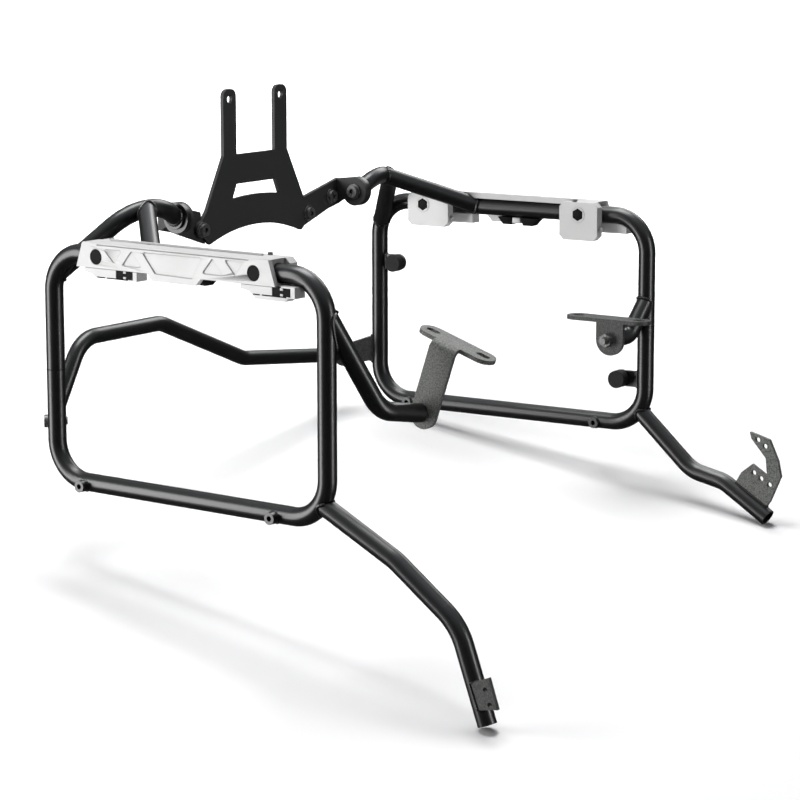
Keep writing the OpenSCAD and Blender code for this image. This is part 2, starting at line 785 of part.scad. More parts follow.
module inner_clamps(side) {
    color(cast) difference() {
        on_hoop(side) difference() {
            for (i = [0, 1]) {
                p = clamp_spans[i];
                low = clamp_lows[i];
                translate([0, -web_in, 0]) rotate([90, 0, 0]) linear_extrude(clamp_t)
                    polygon([[p[0] + clamp_cut, low], [p[0], low + clamp_cut], [p[0], bar_top_v - clamp_cut],
                        [p[0] + clamp_cut, bar_top_v], [p[1] - clamp_cut, bar_top_v], [p[1], bar_top_v - clamp_cut],
                        [p[1], low + clamp_cut], [p[1] - clamp_cut, low]]);
            }
            for (u = clamp_places) translate([u, 0, top_v]) rotate([90, 0, 0]) {
                cylinder(h = 3 * tube_d, d = clamp_bolt_d + 2 * seat);
                translate([0, 0, web_in + clamp_t - 5]) cylinder(h = 6, d = 14);
            }
        }
        on_side(side) brace_rod(seat);
    }
}

module clamp_bolts(side) {
    head_in = web_in + clamp_t - 5;
    color(zinc) on_hoop(side)
        for (u = clamp_places) translate([u, 0, top_v]) rotate([90, 0, 0]) {
            translate([0, 0, -web_out + plug_deep + seat]) cylinder(h = web_out - plug_deep + head_in, d = clamp_bolt_d);
            translate([0, 0, head_in]) cylinder(h = 4.4, d = 13, $fn = 6);
        }
}

module hole_plugs() {
    color(rubber) for (side = [right, left]) on_hoop(side)
        for (u = clamp_places)
            translate([u, web_out - plug_deep + seat, top_v]) rotate([-90, 0, 0])
                cylinder(h = plug_deep - 2 * seat, d = plug_d - seat);
}

hoop(right);  // right_hoop
hoop(left);  // left_hoop
bushes(right);  // right_bushes
bushes(left);  // left_bushes
tail_plate();
link_plate(right);  // right_link_plate
link_plate(left);  // left_link_plate
link_bolts();
stay_flange(right);  // right_stay_flange
stay_flange(left);  // left_stay_flange
flange_bolts();
upper_stay(right);  // right_upper_stay
upper_stay(left);  // left_upper_stay
brace(right);  // right_brace
brace(left);  // left_brace
cross_bracket(right);  // right_cross_bracket
cross_bracket(left);  // left_cross_bracket
cross_tube();
cross_bolts();
mid_stay(right);  // right_mid_stay
mid_stay(left);  // left_mid_stay
mid_bracket(right);  // right_mid_bracket
mid_bracket(left);  // left_mid_bracket
mid_bolts();
front_leg(right);  // right_front_leg
front_leg(left);  // left_front_leg
foot_plate(right);  // right_foot_plate
foot_plate(left);  // left_foot_plate
buffer_tabs();
buffers();
mount_bar(right);  // right_mount_bar
mount_bar(left);  // left_mount_bar
latch_blocks(right);  // right_latch_blocks
latch_blocks(left);  // left_latch_blocks
latch_inserts();
inner_clamps(right);  // right_inner_clamps
inner_clamps(left);  // left_inner_clamps
clamp_bolts(right);  // right_clamp_bolts
clamp_bolts(left);  // left_clamp_bolts
hole_plugs();
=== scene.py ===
import math

import bmesh
import bpy
from mathutils import Matrix, Vector
from mathutils.bvhtree import BVHTree


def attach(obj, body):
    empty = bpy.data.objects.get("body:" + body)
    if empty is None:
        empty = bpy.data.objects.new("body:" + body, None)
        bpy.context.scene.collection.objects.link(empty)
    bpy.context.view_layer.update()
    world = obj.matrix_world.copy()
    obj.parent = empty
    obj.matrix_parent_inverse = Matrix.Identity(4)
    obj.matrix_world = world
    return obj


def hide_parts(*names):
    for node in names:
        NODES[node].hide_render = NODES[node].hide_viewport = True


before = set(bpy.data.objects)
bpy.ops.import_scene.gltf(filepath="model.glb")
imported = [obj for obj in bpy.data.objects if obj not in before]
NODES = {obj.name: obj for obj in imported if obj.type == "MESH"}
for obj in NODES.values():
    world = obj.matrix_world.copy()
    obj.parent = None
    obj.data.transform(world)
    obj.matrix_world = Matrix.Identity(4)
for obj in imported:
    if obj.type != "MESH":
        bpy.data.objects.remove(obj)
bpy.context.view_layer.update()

# Camera, solved from the photograph's two hoops, in the part's frame
CAMERA_AT = Vector((1.8052, -2.3492, 0.2151))
CAMERA_LOOK = Vector((-0.55971, 0.80950, -0.17727))
CAMERA_ROLL = math.radians(0.063)
LENS_MM = 128.72

# The hoops' own frame: forward, outboard, up, from the middle of a hoop
HOOP_AHEAD = 0.132
HOOP_GAP = 0.565
HOOP_DROP = 0.245
HOOP_TOE = math.radians(2.4)
SIDES = {"right": -1, "left": 1}


def hoop_matrix(side):
    """Frame of one hoop: X forward, Y outboard, Z up. The right one is mirrored."""
    c, s = math.cos(HOOP_TOE), math.sin(HOOP_TOE)
    k = SIDES[side]
    return Matrix(
        (
            (c, -s, 0, HOOP_AHEAD),
            (k * s, k * c, 0, k * HOOP_GAP / 2),
            (0, 0, 1, -HOOP_DROP),
            (0, 0, 0, 1),
        )
    )


# ---- materials ----

# Radii to which edges look rounded
BOLT_EDGE = 0.0004
EDGE = 0.0006
SOFT_EDGE = 0.0008
# The sockets of a mix node that take and give colours
MIX_FIRST, MIX_SECOND, MIX_RESULT = 6, 7, 2


def node_material(name):
    """A new material with its node tree and its one surface shader."""
    m = bpy.data.materials.new(name)
    m.use_nodes = True
    m.node_tree.nodes.clear()
    out = m.node_tree.nodes.new("ShaderNodeOutputMaterial")
    bsdf = m.node_tree.nodes.new("ShaderNodeBsdfPrincipled")
    m.node_tree.links.new(bsdf.outputs["BSDF"], out.inputs["Surface"])
    return m, m.node_tree, bsdf


def noise(tree, scale, detail=2.0, rough=0.5):
    """Noise in the piece's own space; the scale is its number of waves to a metre."""
    co = tree.nodes.new("ShaderNodeTexCoord")
    n = tree.nodes.new("ShaderNodeTexNoise")
    n.inputs["Scale"].default_value = scale
    n.inputs["Detail"].default_value = detail
    n.inputs["Roughness"].default_value = rough
    tree.links.new(co.outputs["Object"], n.inputs["Vector"])
    return n


def ramp(tree, value, stops):
    """Colours by value: stops are pairs of value and colour."""
    r = tree.nodes.new("ShaderNodeValToRGB")
    r.color_ramp.elements[0].position = stops[0][0]
    r.color_ramp.elements[1].position = stops[-1][0]
    for pos, _ in stops[1:-1]:
        r.color_ramp.elements.new(pos)
    for e, (_, colour) in zip(r.color_ramp.elements, stops):
        e.color = (*colour, 1)
    tree.links.new(value, r.inputs["Fac"])
    return r.outputs["Color"]


def rough_range(tree, value, low, high):
    """A value from 0 to 1 as a roughness from low to high."""
    r = tree.nodes.new("ShaderNodeMapRange")
    r.inputs["To Min"].default_value = low
    r.inputs["To Max"].default_value = high
    tree.links.new(value, r.inputs["Value"])
    return r.outputs["Result"]


def bump(tree, height, distance, strength, normal=None):
    b = tree.nodes.new("ShaderNodeBump")
    b.inputs["Distance"].default_value = distance
    b.inputs["Strength"].default_value = strength
    tree.links.new(height, b.inputs["Height"])
    if normal is not None:
        tree.links.new(normal, b.inputs["Normal"])
    return b.outputs["Normal"]


def rounded_edges(tree, radius):
    """Normals that make sharp edges look rounded."""
    b = tree.nodes.new("ShaderNodeBevel")
    b.samples = 4
    b.inputs["Radius"].default_value = radius
    return b.outputs["Normal"]


def powder_coat(name, dark, light, rough, grain, grain_depth):
    """Powder-coated steel: slight colour variation, orange peel and a fine grain."""
    m, t, b = node_material(name)
    tone = noise(t, 9, 3)
    t.links.new(ramp(t, tone.outputs["Fac"], [(0.35, dark), (0.7, light)]), b.inputs["Base Color"])
    b.inputs["Specular IOR Level"].default_value = 0.5
    fine = noise(t, grain, 2, 0.6)
    t.links.new(rough_range(t, fine.outputs["Fac"], *rough), b.inputs["Roughness"])
    n = bump(t, fine.outputs["Fac"], grain_depth, 0.6, rounded_edges(t, EDGE))
    t.links.new(n, b.inputs["Normal"])
    return m


def speckled_coat(name, dark, light):
    """Coarse textured powder coat on the brackets: a speckle of light grains in a dark ground."""
    m, t, b = node_material(name)
    grains = noise(t, 620, 3, 0.7)
    t.links.new(ramp(t, grains.outputs["Fac"], [(0.36, dark), (0.64, light)]), b.inputs["Base Color"])
    b.inputs["Specular IOR Level"].default_value = 0.4
    t.links.new(rough_range(t, grains.outputs["Fac"], 0.62, 0.45), b.inputs["Roughness"])
    t.links.new(bump(t, grains.outputs["Fac"], 0.0002, 0.6, rounded_edges(t, SOFT_EDGE)), b.inputs["Normal"])
    return m


def cast_metal(name):
    """Fine-blasted, clear-anodised aluminium casting, with painted shade darkening its corners and pockets.
    """
    m, t, b = node_material(name)
    tone = noise(t, 14, 4)
    unshaded_tone = ramp(t, tone.outputs["Fac"], [(0.3, (0.475, 0.473, 0.47)), (0.7, (0.535, 0.533, 0.53))])
    # Painted shade: ambient occlusion darkens the base colour in the corners and along the pocket edges
    corners = t.nodes.new("ShaderNodeAmbientOcclusion")
    corners.samples = 6
    corners.inputs["Distance"].default_value = 0.0028
    shade = ramp(t, corners.outputs["AO"], [(0.35, (0.42, 0.42, 0.42)), (0.92, (1, 1, 1))])
    mixed = t.nodes.new("ShaderNodeMix")
    mixed.data_type = "RGBA"
    mixed.blend_type = "MULTIPLY"
    mixed.inputs["Factor"].default_value = 1.0
    t.links.new(unshaded_tone, mixed.inputs[MIX_FIRST])
    t.links.new(shade, mixed.inputs[MIX_SECOND])
    t.links.new(mixed.outputs[MIX_RESULT], b.inputs["Base Color"])
    b.inputs["Metallic"].default_value = 0.12
    b.inputs["Specular IOR Level"].default_value = 0.22
    fine = noise(t, 2200, 2, 0.6)
    t.links.new(rough_range(t, fine.outputs["Fac"], 0.42, 0.58), b.inputs["Roughness"])
    t.links.new(bump(t, fine.outputs["Fac"], 0.00005, 0.5, rounded_edges(t, EDGE)), b.inputs["Normal"])
    return m


def dark_zinc(name):
    """Black zinc on the bolts, with a patchy sheen."""
    m, t, b = node_material(name)
    tone = noise(t, 400, 3)
    t.links.new(
        ramp(t, tone.outputs["Fac"], [(0.3, (0.07, 0.07, 0.072)), (0.75, (0.16, 0.156, 0.15))]),
        b.inputs["Base Color"],
    )
    b.inputs["Metallic"].default_value = 0.7
    t.links.new(rough_range(t, tone.outputs["Fac"], 0.3, 0.5), b.inputs["Roughness"])
    t.links.new(bump(t, tone.outputs["Fac"], 0.00005, 0.4, rounded_edges(t, BOLT_EDGE)), b.inputs["Normal"])
    return m


def moulded_rubber(name, dark):
    """Black rubber and plastic; dark is the base colour of its darkest patches."""
    m, t, b = node_material(name)
    tone = noise(t, 900, 3)
    t.links.new(
        ramp(t, tone.outputs["Fac"], [(0.3, (dark, dark, dark)), (0.7, (2 * dark, 2 * dark, 2 * dark))]),
        b.inputs["Base Color"],
    )
    t.links.new(rough_range(t, tone.outputs["Fac"], 0.5, 0.75), b.inputs["Roughness"])
    b.inputs["Specular IOR Level"].default_value = 0.08
    t.links.new(bump(t, tone.outputs["Fac"], 0.00006, 0.5, rounded_edges(t, SOFT_EDGE)), b.inputs["Normal"])
    return m


# Name, darkest and lightest colour, roughness from and to, grains to a metre and their depth
COAT = powder_coat(
    "satin_black_coat", (0.0035, 0.0035, 0.0035), (0.006, 0.0055, 0.005), (0.27, 0.37), 900, 0.00003
)
FLAT_COAT = powder_coat(
    "matt_black_coat", (0.004, 0.004, 0.004), (0.008, 0.0075, 0.007), (0.5, 0.66), 1400, 0.00006
)
GREY_COAT = speckled_coat("textured_grey_coat", (0.028, 0.03, 0.027), (0.125, 0.13, 0.118))
DARK_GREY_COAT = speckled_coat("textured_dark_coat", (0.012, 0.013, 0.012), (0.055, 0.058, 0.052))
CAST = cast_metal("cast_aluminium")
ZINC = dark_zinc("black_zinc")
RUBBER = moulded_rubber("moulded_rubber", 0.004)
WORN_RUBBER = moulded_rubber("worn_rubber", 0.012)

# Every other piece is coated satin black
FINISH = {
    "tail_plate": FLAT_COAT,
    "right_link_plate": FLAT_COAT,
    "left_link_plate": FLAT_COAT,
    "right_cross_bracket": DARK_GREY_COAT,
    "left_cross_bracket": DARK_GREY_COAT,
    "right_mid_bracket": GREY_COAT,
    "left_mid_bracket": DARK_GREY_COAT,
    "right_foot_plate": DARK_GREY_COAT,
    "left_foot_plate": GREY_COAT,
    "buffers": WORN_RUBBER,
    "latch_inserts": RUBBER,
    "hole_plugs": RUBBER,
}
for name in NODES:
    if "bolts" in name:
        FINISH[name] = ZINC
    elif "mount_bar" in name or "latch_blocks" in name or "inner_clamps" in name:
        FINISH[name] = CAST


def dress(obj, material):
    obj.data.materials.clear()
    obj.data.materials.append(material)


for name, obj in NODES.items():
    dress(obj, FINISH.get(name, COAT))

# ---- new pieces ----

SMOOTH_UNDER = math.radians(35)


def piece(name, bm, material):
    """A new piece of the part, riding on its only body."""
    bmesh.ops.recalc_face_normals(bm, faces=bm.faces)
    mesh = bpy.data.meshes.new(name)
    bm.to_mesh(mesh)
    bm.free()
    mesh.shade_smooth()
    mesh.set_sharp_from_angle(angle=SMOOTH_UNDER)
    obj = bpy.data.objects.new(name, mesh)
    bpy.context.scene.collection.objects.link(obj)
    dress(obj, material)
    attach(obj, "root")


# ---- weld beads ----


def tree_of(name):
    """A CAD node's surface, to search for its nearest point."""
    obj = NODES[name]
    places = [obj.matrix_world @ v.co for v in obj.data.vertices]
    return BVHTree.FromPolygons(places, [tuple(f.vertices) for f in obj.data.polygons])


# How far from its carrier an edge is still part of the joint, and how sharp that edge is
WELD_REACH = 0.0008
WELD_EDGE = math.radians(32)
RIPPLE_PITCH = 0.0026
RIPPLE_STEPS = 5
RIPPLE_DEPTH = 0.16
BEAD_SIDES = 8


def joint_chains(node, carrier):
    """Chains of points along the sharp edges of a node that lie close to the piece that carries it."""
    obj = NODES[node]
    bm = bmesh.new()
    bm.from_mesh(obj.data)
    bm.transform(obj.matrix_world)
    bmesh.ops.remove_doubles(bm, verts=bm.verts, dist=1e-6)
    tree = tree_of(carrier)
    near = {v.index for v in bm.verts if tree.find_nearest(v.co, WELD_REACH)[0] is not None}
    links = {}
    for e in bm.edges:
        a, b = e.verts
        joined = a.index in near and b.index in near and len(e.link_faces) == 2
        if joined and e.calc_face_angle(0) > WELD_EDGE:
            links.setdefault(a.index, set()).add(b.index)
            links.setdefault(b.index, set()).add(a.index)
    bm.verts.ensure_lookup_table()
    places = {i: bm.verts[i].co.copy() for i in links}
    bm.free()
    chains = []
    while links:
        starts = sorted(i for i in links if len(links[i]) == 1) or sorted(links)
        at = starts[0]
        chain = [at]
        while links.get(at):
            following = min(links[at])
            links[at].discard(following)
            links[following].discard(at)
            at = following
            chain.append(at)
        links = {i: s for i, s in links.items() if s}
        if len(chain) > 2:
            chains.append([places[i] for i in chain])
    return chains


def even_points(chain, step):
    """Points at an even distance along a chain, and whether it is closed."""
    closed = (chain[0] - chain[-1]).length < 1e-6
    lengths = [0.0]
    for a, b in zip(chain, chain[1:]):
        lengths.append(lengths[-1] + (b - a).length)
    count = max(4, round(lengths[-1] / step))
    out = []
    k = 0
    for i in range(count + (0 if closed else 1)):
        want = lengths[-1] * i / count
        while k < len(chain) - 2 and lengths[k + 1] < want:
            k += 1
        span = lengths[k + 1] - lengths[k]
        out.append(chain[k].lerp(chain[k + 1], (want - lengths[k]) / span if span > 0 else 0))
    return out, closed


def add_bead(bm, chain, radius):
    """Rippled weld bead along a chain of points."""
    points, closed = even_points(chain, RIPPLE_PITCH / RIPPLE_STEPS)
    n = len(points)
    rings = []
    normal = None
    for i, p in enumerate(points):
        ahead = points[(i + 1) % n] if closed or i < n - 1 else p
        behind = points[i - 1] if closed or i > 0 else p
        along = (ahead - behind).normalized()
        if normal is None:
            normal = along.orthogonal()
        normal = (normal - along * normal.dot(along)).normalized()
        across = along.cross(normal)
        ripple = abs(math.cos(math.pi * i / RIPPLE_STEPS))
        r = radius * (1 - RIPPLE_DEPTH + RIPPLE_DEPTH * ripple)
        turns = (math.tau * k / BEAD_SIDES for k in range(BEAD_SIDES))
        rings.append([bm.verts.new(p + r * (math.cos(a) * normal + math.sin(a) * across)) for a in turns])
    for i in range(n if closed else n - 1):
        a, b = rings[i], rings[(i + 1) % n]
        shift = 0
        if closed and i == n - 1:
            shift = min(range(BEAD_SIDES), key=lambda k: (a[0].co - b[k].co).length)
        for k in range(BEAD_SIDES):
            k2 = (k + 1) % BEAD_SIDES
            bm.faces.new((a[k], a[k2], b[(k2 + shift) % BEAD_SIDES], b[(k + shift) % BEAD_SIDES]))
    if not closed:
        bm.faces.new(rings[0])
        bm.faces.new(rings[-1])


def weld(name, node, carrier, radius):
    """The beads that join a node to the piece that carries it, where the two meet at all."""
    bm = bmesh.new()
    for chain in joint_chains(node, carrier):
        add_bead(bm, chain, radius)
    if bm.verts:
        piece(name, bm, COAT)
    else:
        bm.free()


# Node, its carrier and the bead's radius
WELDS = (
    ("upper_stay", "hoop", 0.0019),
    ("upper_stay", "stay_flange", 0.0018),
    ("brace", "hoop", 0.0019),
    ("brace", "upper_stay", 0.0018),
    ("mid_stay", "hoop", 0.0018),
    ("front_leg", "hoop", 0.0019),
    ("cross_bracket", "hoop", 0.0015),
    ("foot_plate", "front_leg", 0.0012),
    ("hoop", "bushes", 0.0011),
)
for side in SIDES:
    for node, carrier, radius in WELDS:
        weld(f"{side}_weld_{node}_{carrier}", f"{side}_{node}", f"{side}_{carrier}", radius)
weld("left_weld_tabs", "buffer_tabs", "left_hoop", 0.0013)

# ---- relief of the mount bars ----

# Outlines of the pockets in the bar's front, in the hoop's own frame: forward and up, in millimetres
POCKETS = (
    ((-90.3, 120.6), (-65.1, 121.4), (-76.6, 106.8)),
    ((-54.0, 121.6), (-67.3, 106.0), (-39.7, 105.8)),
    ((-41.2, 121.2), (-24.6, 101.6), (21.4, 100.6), (34.7, 121.8)),
    ((46.3, 122.2), (32.7, 106.6), (60.9, 106.2)),
    ((59.6, 122.4), (84.4, 121.4), (73.5, 107.4)),
)
BAR_FRONT = 0.0145
BAR_TOP = 0.12555
POCKET_DEEP = 0.0011
POCKET_TAPER = 0.0007
POCKET_CORNER = 0.0016
GROOVE_ENDS = (-0.098, 0.090)
GROOVE_BELOW_TOP = (0.0022, 0.0012)
GROOVE_DEEP = 0.0009
# How far a cutter stands out of the face that it cuts
CUT_OUT = 0.001


def inset(points, d):
    """A convex outline moved inwards by d."""
    n = len(points)
    area = sum(points[i].cross(points[(i + 1) % n]) for i in range(n))
    turn = 1 if area > 0 else -1
    lines = []
    for i in range(n):
        a, b = points[i], points[(i + 1) % n]
        t = (b - a).normalized()
        inward = Vector((-t.y, t.x)) * turn
        lines.append((a + inward * d, t))
    out = []
    for i in range(n):
        (p, t), (q, w) = lines[i - 1], lines[i]
        k = (q - p).cross(w) / t.cross(w)
        out.append(p + t * k)
    return out


def rounded(points, r, steps=5):
    """A convex outline with its corners rounded."""
    n = len(points)
    out = []
    for i in range(n):
        p = points[i]
        a = (points[i - 1] - p).normalized()
        b = (points[(i + 1) % n] - p).normalized()
        half = a.angle(b) / 2
        reach = r / math.tan(half)
        c = p + (a + b).normalized() * (r / math.sin(half))
        s, e = p + a * reach - c, p + b * reach - c
        sweep = s.angle_signed(e)
        for k in range(steps + 1):
            out.append(c + Matrix.Rotation(-sweep * k / steps, 2) @ s)
    return out


def pocket_cutter(bm, points):
    """A pocket with sloping walls and rounded corners."""
    outline = [Vector(p) / 1000 for p in points]
    layers = ((BAR_FRONT + CUT_OUT, 0.0), (BAR_FRONT, 0.0), (BAR_FRONT - POCKET_DEEP, POCKET_TAPER))
    rings = []
    for out, shrink in layers:
        ring = rounded(inset(outline, shrink), POCKET_CORNER)
        rings.append([bm.verts.new((q.x, out, q.y)) for q in ring])
    n = len(rings[0])
    for a, b in zip(rings, rings[1:]):
        for k in range(n):
            bm.faces.new((a[k], a[(k + 1) % n], b[(k + 1) % n], b[k]))
    bm.faces.new(rings[0])
    bm.faces.new(rings[-1])


def groove_cutter(bm):
    """The fine line along the top of the bar's front."""
    low = Vector((GROOVE_ENDS[0], BAR_FRONT - GROOVE_DEEP, BAR_TOP - GROOVE_BELOW_TOP[0]))
    high = Vector((GROOVE_ENDS[1], BAR_FRONT + CUT_OUT, BAR_TOP - GROOVE_BELOW_TOP[1]))
    stretch = Matrix.Diagonal((*(high - low), 1))
    bmesh.ops.create_cube(bm, size=1, matrix=Matrix.Translation((low + high) / 2) @ stretch)


def cut_copy(name, source, cutter_bm, material):
    """A copy of a CAD node with cutters taken out, in place of that node."""
    mesh = NODES[source].data.copy()
    mesh.transform(NODES[source].matrix_world)
    obj = bpy.data.objects.new(name, mesh)
    bpy.context.scene.collection.objects.link(obj)
    bmesh.ops.recalc_face_normals(cutter_bm, faces=cutter_bm.faces)
    cut_mesh = bpy.data.meshes.new("cutter")
    cutter_bm.to_mesh(cut_mesh)
    cutter_bm.free()
    cutter = bpy.data.objects.new("cutter", cut_mesh)
    bpy.context.scene.collection.objects.link(cutter)
    obj.modifiers.new("weld", "WELD").merge_threshold = 1e-6
    cut = obj.modifiers.new("cut", "BOOLEAN")
    cut.object = cutter
    cut.operation = "DIFFERENCE"
    cut.solver = "EXACT"
    shaped = bpy.data.meshes.new_from_object(obj.evaluated_get(bpy.context.evaluated_depsgraph_get()))
    obj.modifiers.clear()
    obj.data = shaped
    shaped.shade_smooth()
    shaped.set_sharp_from_angle(angle=CASTING_SMOOTH_UNDER)
    bpy.data.objects.remove(cutter)
    dress(obj, material)
    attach(obj, "root")
    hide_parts(source)


CASTING_SMOOTH_UNDER = math.radians(25)
for side in SIDES:
    cutters = bmesh.new()
    for outline in POCKETS:
        pocket_cutter(cutters, outline)
    groove_cutter(cutters)
    cutters.transform(hoop_matrix(side))
    cut_copy(f"{side}_bar_casting", f"{side}_mount_bar", cutters, CAST)

# ---- small pieces on the hoops ----

# Places in a hoop's own frame, in millimetres: forward, outboard, up
TUBE_R = 9.0
FRONT_U = 169.0
TOP_V = 112.25
SEAM_V = -4.5
UNDER_TUBE = 102.6
CLAMP_BOLTS_U = (-99.5, 95.5)
CLAMP_FACE = -20.3
CLAMP_MIDDLE = -13.5
SET_SCREW_O = -17.0
SET_SCREW_FOOT = 123.5
SET_SCREWS = ((-107.1, 126.9), (89.8, 128.1))
SIDE_SCREWS = ((-67.0, 98.0), (119.0, 97.0))
# Outlines of two black sheets of painted shade under the top tube, standing in for shaded hollows
CAVITY_SHADE_OUTLINES = (
    ((-13, UNDER_TUBE), (5, UNDER_TUBE), (5, 94.6), (-6, 94.6)),
    ((16, UNDER_TUBE), (39, UNDER_TUBE), (31, 94.2), (19, 94.2)),
)
BOSS_AND_SHADE_OUT = (-5, 6)
BOSS_ENDS = (5.6, 15.4)
BOSS_FOOT = 96.2
INSERTS_U = (-63.25, 128.25)
NOTCH_LEVELS = ((93.7, 95.9), (99.0, 101.2))
NOTCH_HALF = 1.7
# Levels and ends of the black strips of painted shade along the latch blocks' lower edges
SHADE_STRIP_LEVELS = (92.6, 93.7)
SHADE_STRIP_ENDS = ((-98, -88), (-85.5, -59), (95, 103), (105.5, 134))
LATCH_FRONT = 1000 * BAR_FRONT


def lathe(bm, profile, at, axis, steps):
    """An outline of radius and height turned about an axis."""
    z = Vector(axis).normalized()
    x = z.orthogonal().normalized()
    y = z.cross(x)
    rings = []
    for k in range(steps):
        a = math.tau * k / steps
        around = math.cos(a) * x + math.sin(a) * y
        rings.append([bm.verts.new(Vector(at) + around * r + z * h) for r, h in profile])
    n = len(profile)
    for k in range(steps):
        a, b = rings[k], rings[(k + 1) % steps]
        for i in range(n - 1):
            bm.faces.new((a[i], b[i], b[i + 1], a[i + 1]))
        if profile[0][0] > 0 and profile[-1][0] > 0:
            bm.faces.new((a[n - 1], b[n - 1], b[0], a[0]))
    bmesh.ops.remove_doubles(bm, verts=bm.verts, dist=1e-5)


def prism(bm, outline, low, high, bevel):
    """An outline of forward and up, drawn out along the outboard direction and rounded at its edges."""
    new = bmesh.new()
    a = [new.verts.new((u, low, v)) for u, v in outline]
    b = [new.verts.new((u, high, v)) for u, v in outline]
    n = len(outline)
    new.faces.new(a)
    new.faces.new(b)
    for i in range(n):
        new.faces.new((a[i], a[(i + 1) % n], b[(i + 1) % n], b[i]))
    bmesh.ops.recalc_face_normals(new, faces=new.faces)
    bmesh.ops.bevel(new, geom=list(new.edges), offset=bevel, segments=2, affect="EDGES", profile=0.5)
    mesh = bpy.data.meshes.new("prism")
    new.to_mesh(mesh)
    new.free()
    bm.from_mesh(mesh)
    bpy.data.meshes.remove(mesh)


def rectangle(low_u, high_u, low_v, high_v):
    return [(low_u, low_v), (high_u, low_v), (high_u, high_v), (low_u, high_v)]


def hexagon(u, v, r):
    turns = [math.tau * k / 6 for k in range(6)]
    return [(u + r * math.sin(a), v + r * math.cos(a)) for a in turns]


def hexagon_collar(bm, u, v, inner, outer, low, high, steps=8):
    """A flat round collar with a hexagonal hole, facing inboard."""
    corners = [Vector(p) for p in hexagon(0, 0, inner)]
    hole, rim = [], []
    for k in range(6):
        for i in range(steps):
            p = corners[k].lerp(corners[(k + 1) % 6], i / steps)
            hole.append(p)
            rim.append(p.normalized() * outer)
    loops = []
    for out, ring in ((low, hole), (low, rim), (high, rim), (high, hole)):
        loops.append([bm.verts.new((u + p.x, out, v + p.y)) for p in ring])
    n = len(hole)
    for a, b in zip(loops, loops[1:] + loops[:1]):
        for i in range(n):
            bm.faces.new((a[i], a[(i + 1) % n], b[(i + 1) % n], b[i]))


def nut_collars(bm, side):
    """Pale collars round the nuts in the clamps' inner faces."""
    for u in CLAMP_BOLTS_U:
        hexagon_collar(bm, u, TOP_V, 6.9, 8.1, CLAMP_FACE + 0.02, CLAMP_FACE - 0.45)


def tube_seam(bm, side):
    """The thin line where the ends of the hoop's tube are joined, on one of its uprights."""
    sunk, proud = TUBE_R - 0.1, TUBE_R + 0.1
    profile = [(sunk, -0.45), (proud, -0.35), (proud, 0.35), (sunk, 0.45)]
    lathe(bm, profile, (FRONT_U * SIDES[side], 0, SEAM_V), (0, 0, 1), 48)


def set_screws(bm, side):
    """Socket set screws that stand out of the tops of the clamp blocks."""
    r, chamfer, socket_deep = 2.4, 0.5, 1.2
    for u, high in SET_SCREWS:
        wall = [(0, SET_SCREW_FOOT), (r, SET_SCREW_FOOT), (r, high - chamfer), (r - chamfer, high)]
        socket = [(r / 2, high), (r / 2, high - socket_deep), (0, high - socket_deep)]
        lathe(bm, wall + socket, (u, SET_SCREW_O, 0), (0, 0, 1), 24)


def clamp_nuts(bm, side):
    """Black hexagonal nuts sunk in the clamps' inner faces."""
    for u in CLAMP_BOLTS_U:
        prism(bm, hexagon(u, TOP_V, 6.85), CLAMP_FACE - 0.3, CLAMP_FACE + 4.1, 0.3)


def side_screws(bm, side):
    """Round screws on the front ends of the clamp blocks."""
    r, long, chamfer = 2.6, 3.2, 0.6
    for u, v in SIDE_SCREWS:
        profile = [(0, 0), (r, 0), (r, long - chamfer), (r - 0.5, long), (0, long)]
        lathe(bm, profile, (u, CLAMP_MIDDLE, v), (1, 0, 0), 24)


def tube_cavity_shade(bm, side):
    """Painted shade: two black sheets under the middle of the top tube stand in for the shaded hollows in
    the back of the tab there.
    """
    for outline in CAVITY_SHADE_OUTLINES:
        prism(bm, outline, *BOSS_AND_SHADE_OUT, 0.6)


def tube_boss(bm, side):
    """The pale boss between the two black sheets of painted shade."""
    prism(bm, rectangle(*BOSS_ENDS, BOSS_FOOT, UNDER_TUBE), *BOSS_AND_SHADE_OUT, 0.8)


def latch_notches(bm, side):
    """Pale notches above and below the middle of each black insert."""
    for u in INSERTS_U:
        for level in NOTCH_LEVELS:
            outline = rectangle(u - NOTCH_HALF, u + NOTCH_HALF, *level)
            prism(bm, outline, LATCH_FRONT - 1.2, LATCH_FRONT - 0.25, 0.15)


def latch_edge_shade_strips(bm, side):
    """Painted shade: black strips along the lower edges of the latch blocks stand in for the shaded groove
    line there.
    """
    for ends in SHADE_STRIP_ENDS:
        prism(bm, rectangle(*ends, *SHADE_STRIP_LEVELS), LATCH_FRONT - 0.6, LATCH_FRONT + 0.2, 0.15)


SMALL_PIECES = (
    (nut_collars, CAST),
    (tube_seam, RUBBER),
    (set_screws, ZINC),
    (clamp_nuts, RUBBER),
    (side_screws, CAST),
    (tube_cavity_shade, RUBBER),
    (tube_boss, CAST),
    (latch_notches, CAST),
    (latch_edge_shade_strips, RUBBER),
)
for side in SIDES:
    for build, material in SMALL_PIECES:
        bm = bmesh.new()
        build(bm, side)
        bm.transform(hoop_matrix(side) @ Matrix.Scale(0.001, 4))
        piece(f"{side}_{build.__name__}", bm, material)

# ---- floor, light and camera ----

# The frame stands on its two feet and its rear lower corner, so the floor slopes in the part's own frame.
# These points give only its slope.
FLOOR_POINTS = (
    Vector((0.476, -0.289, -0.527)),
    Vector((0.452, 0.280, -0.449)),
    Vector((-0.045, 0.275, -0.372)),
)
FLOOR_HALF = 12.0
# The floor turns plain white between these distances from the middle of the shadows.
FADE_FROM = (0.2, 0.0, -0.45)
FADE_NEAR, FADE_FAR = 0.55, 1.5


